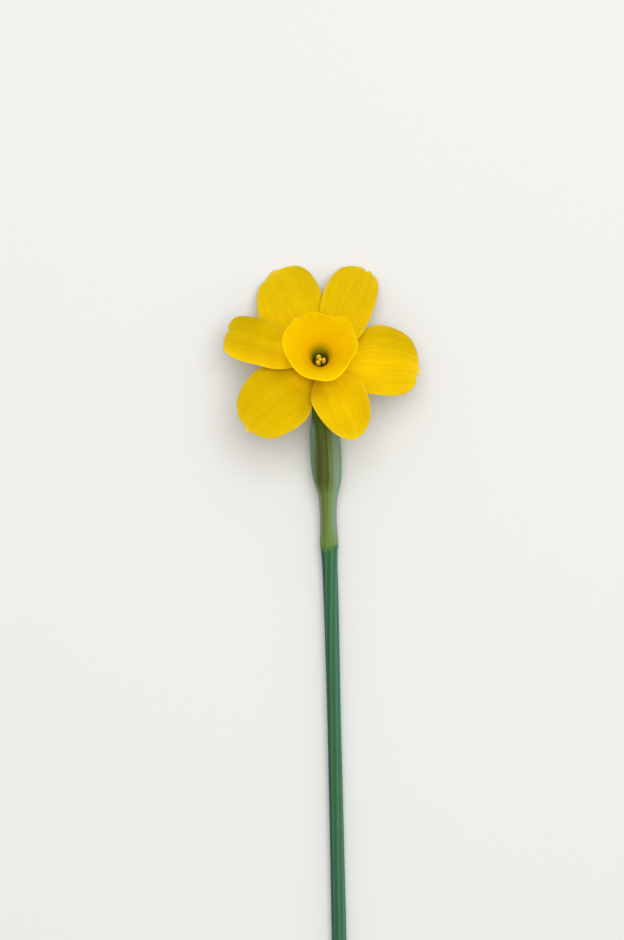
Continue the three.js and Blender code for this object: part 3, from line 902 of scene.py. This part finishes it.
def paperySpathe():
    # u runs from the seam on top down the right flank, and back up the left one
    material = newMaterial("paperySpathe")
    uv = addNode(material, "ShaderNodeTexCoord").outputs["UV"]
    parts = addNode(material, "ShaderNodeSeparateXYZ", {0: uv})
    u, v = parts.outputs["X"], parts.outputs["Y"]
    straight = readPlace(material, "straight")
    fine = streaks(material, straight, (16, 16, 0.8), detail=3, roughness=0.6)
    broad = streaks(material, straight, (4, 4, 0.5))
    drift = remap(material, broad, 0.3, 0.7, -0.012, 0.012)
    u = math2(material, "ADD", u, drift)
    # the pale bands on the flanks are the membrane's own pale colour, with a painted bluish reflection
    # and painted highlight in them
    swollen = ramp(material, u, [
        (0.0, screen(110, 116, 62)), (0.04, screen(112, 124, 78)), (0.08, screen(128, 152, 126)),
        (0.2, screen(118, 156, 130)), (0.5, screen(106, 134, 100)), (0.77, screen(106, 142, 114)),
        (0.82, screen(88, 98, 58)), (0.865, screen(62, 70, 6)), (0.985, screen(68, 76, 10)),
        (1.0, screen(104, 112, 44)),
    ])
    neck = ramp(material, u, [
        (0.0, screen(112, 130, 76)), (0.06, screen(124, 148, 112)), (0.2, screen(134, 168, 150)),
        (0.5, screen(124, 146, 108)), (0.8, screen(126, 142, 118)), (0.88, screen(92, 110, 36)),
        (0.95, screen(98, 118, 42)), (1.0, screen(112, 130, 76)),
    ])
    green = mixColours(material, remap(material, v, 0.30, 0.43), neck, swollen)
    green = mixColours(material, remap(material, v, 0.12, 0.0, 0, 0.8), green, screen(100, 136, 56))
    fresh = math2(material, "MULTIPLY", remap(material, v, 0.6, 0.75), remap(material, u, 0.83, 0.9))
    green = mixColours(material, fresh, green, screen(88, 108, 8))
    # painted light: the upper part of the left flank is made paler against the shadow that the tepals
    # cast on it
    flank = math2(material, "MULTIPLY",
                  remap(material, u, 0.62, 0.7), remap(material, u, 0.86, 0.81))
    upper = math2(material, "MULTIPLY", flank, remap(material, v, 0.58, 0.72, 0, 0.75))
    green = mixColours(material, upper, green, screen(132, 166, 148))
    green = mixColours(material, remap(material, fine, 0.38, 0.62, 0.25, 0), green, screen(74, 84, 30))
    green = mixColours(material, remap(material, fine, 0.52, 0.72, 0, 0.3), green, screen(150, 160, 116))
    brown = math2(material, "MULTIPLY", remap(material, v, 0.84, 1.0), 0.8)
    colour = mixColours(material, brown, green, screen(150, 130, 84))
    thinTissue(material, colour, bump(material, fine, depth=0.06),
               roughness=0.6, glow=0.08, gloss=(0.8, 1.0, 0.7, 1), deep=0.4)
    return material


makeSpathe(paperySpathe())
print("spathe")


# the scape

scape = {
    "radius": 2.33, "rib": 0.08, "ribs": 8, "lip": 0.7, "lipFade": 3.5,
    "nodeSwell": 0.14, "nodeSwellTo": 0.3, "cutSwell": 0.1, "cutSwellFrom": 0.5, "twist": 28,
    "nodeTwist": 40, "nodeTwistFade": 5.8,
    "cutWithin": 0.2, "cutRing": 0.5, "cutStep": 0.25, "cutDepth": 0.3,
    "pithRing": 0.6, "pithRise": 0.12,
}


def scapeTurn(share):
    nearNode = scape["nodeTwist"] * math.exp(-scape["nodeTwistFade"] * share)
    return 90 - scape["twist"] * (1 - share) - nearNode


def makeScape(material):
    def radius(share):
        lip = scape["lip"] * math.exp(-share * scapeLine["length"] / scape["lipFade"])
        swell = scape["nodeSwell"] * (1 - ease(share, 0, scape["nodeSwellTo"]))
        swell += scape["cutSwell"] * ease(share, scape["cutSwellFrom"], 1)
        return scape["radius"] + lip + swell

    def ribbed(share, angle):
        return 1 + scape["rib"] * math.cos(scape["ribs"] * angle) / radius(share)

    piece = makeTube("scape", scapeLine, 0, scapeLine["length"], radius,
                     rings=160, sides=64, radiusRound=ribbed, turnAt=scapeTurn)
    # which way each vertex faces across the table, for the painted reflection and shade on the stalk's
    # flanks
    flank = []
    for item in piece.data.attributes["straight"].data:
        x, y, distance = item.vector
        turned = math.atan2(y, x) + math.radians(scapeTurn(distance / scapeLine["length"]))
        flank.append(math.cos(turned))
    saveValues(piece, "flank", flank)
    editAll(closeEnds, turnOutwards)
    # the cut end is a firm ring round a softer middle, sunk a little
    cut = min(vertex.co.y for vertex in piece.data.vertices)
    selectFaces(piece, lambda centre: centre.y < cut + scape["cutWithin"] * mm)
    bpy.ops.mesh.inset(thickness=scape["cutRing"] * mm)
    bpy.ops.mesh.inset(thickness=scape["cutStep"] * mm)
    bpy.ops.transform.translate(value=(0, scape["cutDepth"] * mm, 0))
    bpy.ops.mesh.inset(thickness=scape["pithRing"] * mm)
    bpy.ops.transform.translate(value=(0, -scape["pithRise"] * mm, 0))
    bpy.ops.object.mode_set(mode="OBJECT")
    finishPiece(piece, material)


def ribbedScape():
    # green, bluish on the flanks and lighter on the right one than the left as painted reflection and
    # shade, a bluish bloom with painted sheen on the rib crests, dark furrows, and yellower by the node
    material = newMaterial("ribbedScape")
    straight = readPlace(material, "straight")
    parts = addNode(material, "ShaderNodeSeparateXYZ", {0: straight})
    angle = math2(material, "ARCTAN2", parts.outputs["Y"], parts.outputs["X"])
    grain = streaks(material, straight, (1.1, 1.1, 0.012), detail=3, roughness=0.6)
    fine = streaks(material, straight, (4, 4, 0.03))
    drift = remap(material, grain, 0.3, 0.7, -0.9, 0.9)
    turns = math2(material, "MULTIPLY", angle, scape["ribs"])
    ribs = math2(material, "COSINE", math2(material, "ADD", turns, drift))
    flank = remap(material, readValue(material, "flank"), -1, 1)
    # painted reflection and shade: bluish and darker on the left flank, bluish and lighter on the right
    # one, greener between
    green = ramp(material, flank, [
        (0.0, screen(42, 78, 78)), (0.25, screen(45, 88, 63)), (0.5, screen(51, 97, 62)),
        (0.75, screen(62, 109, 82)), (1.0, screen(72, 119, 104)),
    ])
    green = mixColours(material, remap(material, ribs, 0, -1, 0, 0.6), green, screen(44, 84, 36))
    # the lighter bluish rib crests are bloom with painted sheen in it
    green = mixColours(material, remap(material, ribs, 0.2, 1, 0, 0.35), green, screen(80, 128, 104))
    green = mixColours(material, remap(material, fine, 0.55, 0.75, 0, 0.2), green, screen(90, 132, 110))
    squared = math2(material, "POWER", math2(material, "ABSOLUTE", flank), 2)
    bulge = math2(material, "MULTIPLY", squared, 1.6)
    node = remap(material, math2(material, "ADD", parts.outputs["Z"], bulge), 2.6, 0.0)
    green = mixColours(material, node, green, screen(92, 128, 50))
    pith = remap(material, parts.outputs["Z"],
                 scapeLine["length"] - 0.25, scapeLine["length"] - 0.05)
    green = mixColours(material, pith, green, screen(150, 170, 110))
    fleshyTissue(material, green, bump(material, fine, depth=0.05), roughness=0.55, shine=0.08)
    return material


makeScape(ribbedScape())
print("scape")


# stamens, style and stigma, inside the tube

whorls = {
    "upper": {"turn": 5, "top": -1, "bottom": 2.6, "out": 1.2, "radius": 0.88, "root": 8.6},
    "lower": {"turn": 65, "top": 3.7, "bottom": 6.7, "out": 1.15, "radius": 0.45, "root": 9.6},
}
heart = {
    "filament": 0.25, "rootOut": 1.08, "gap": 0.3, "style": 0.35, "stigma": 0.6,
    "stigmaTop": -0.9, "stigmaBottom": 0.2, "stigmaLobes": 0.12, "styleEnd": 12,
    "flatness": 0.12, "groove": 0.3, "grooveWidth": 0.35, "domeEnds": (0.06, 0.94), "domeRound": 0.45,
}


def dome(share):
    # how wide a rounded piece is along its length, nearly closed at both ends
    return math.sin(math.pi * mix(*heart["domeEnds"], share)) ** heart["domeRound"]


def makeStamen(whorl, count, antherMaterial, filamentMaterial):
    settings = whorls[whorl]
    out, radius = settings["out"], settings["radius"]
    angle = math.radians(settings["turn"] + 120 * (count - 1))

    def grooved(share, turn):
        faced = math.remainder(turn - angle - math.pi, 2 * math.pi)
        flat = 1 - heart["flatness"] * math.cos(2 * (turn - angle))
        return flat * (1 - heart["groove"] * hump(faced, 0, heart["grooveWidth"]))

    anther = makeTube(f"{whorl}_anther_{count}", neckLine, settings["top"], settings["bottom"],
                      lambda share: radius * dome(share), rings=24, sides=24,
                      radiusRound=grooved, shift=lambda share: (out, angle))
    editAll(closeEnds, turnOutwards)
    roundOff(anther)
    finishPiece(anther, antherMaterial)
    filament = makeTube(f"{whorl}_filament_{count}", neckLine, settings["bottom"] + heart["gap"],
                        settings["root"], lambda share: heart["filament"], rings=16, sides=12,
                        shift=lambda share: (mix(out, heart["rootOut"], ease(share, 0, 1)), angle))
    editAll(closeEnds, turnOutwards)
    roundOff(filament)
    finishPiece(filament, filamentMaterial)


def makeStyle(material):
    piece = makeTube("style", neckLine, heart["stigmaBottom"] + heart["gap"], heart["styleEnd"],
                     lambda share: heart["style"], rings=30, sides=16)
    editAll(closeEnds, turnOutwards)
    roundOff(piece)
    finishPiece(piece, material)


def makeStigma(material):
    piece = makeTube("stigma", neckLine, heart["stigmaTop"], heart["stigmaBottom"],
                     lambda share: heart["stigma"] * dome(share), rings=12, sides=36,
                     radiusRound=lambda share, angle: 1 + heart["stigmaLobes"] * math.cos(3 * angle))
    editAll(closeEnds, turnOutwards)
    roundOff(piece)
    finishPiece(piece, material)


def pollen():
    material = newMaterial("pollen")
    place = addNode(material, "ShaderNodeTexCoord").outputs["Object"]
    grains = streaks(material, place, (9000, 9000, 9000))
    colour = mixColours(material, remap(material, grains, 0.35, 0.65),
                        (0.62, 0.39, 0.01, 1), (0.80, 0.56, 0.04, 1))
    fleshyTissue(material, colour, bump(material, grains, depth=0.06), roughness=0.8, shine=0.2)
    return material


pollenMaterial = pollen()
filamentMaterial = greenTissue("filamentSkin", (0.55, 0.50, 0.08, 1), (0.70, 0.62, 0.12, 1))
for whorl in whorls:
    for count in (1, 2, 3):
        makeStamen(whorl, count, pollenMaterial, filamentMaterial)
makeStyle(greenTissue("styleSkin", (0.50, 0.52, 0.10, 1), (0.62, 0.62, 0.16, 1)))
makeStigma(greenTissue("stigmaSkin", (0.78, 0.42, 0.02, 1), (0.88, 0.55, 0.05, 1), scale=(5, 5, 5)))
print("stamens, style and stigma")
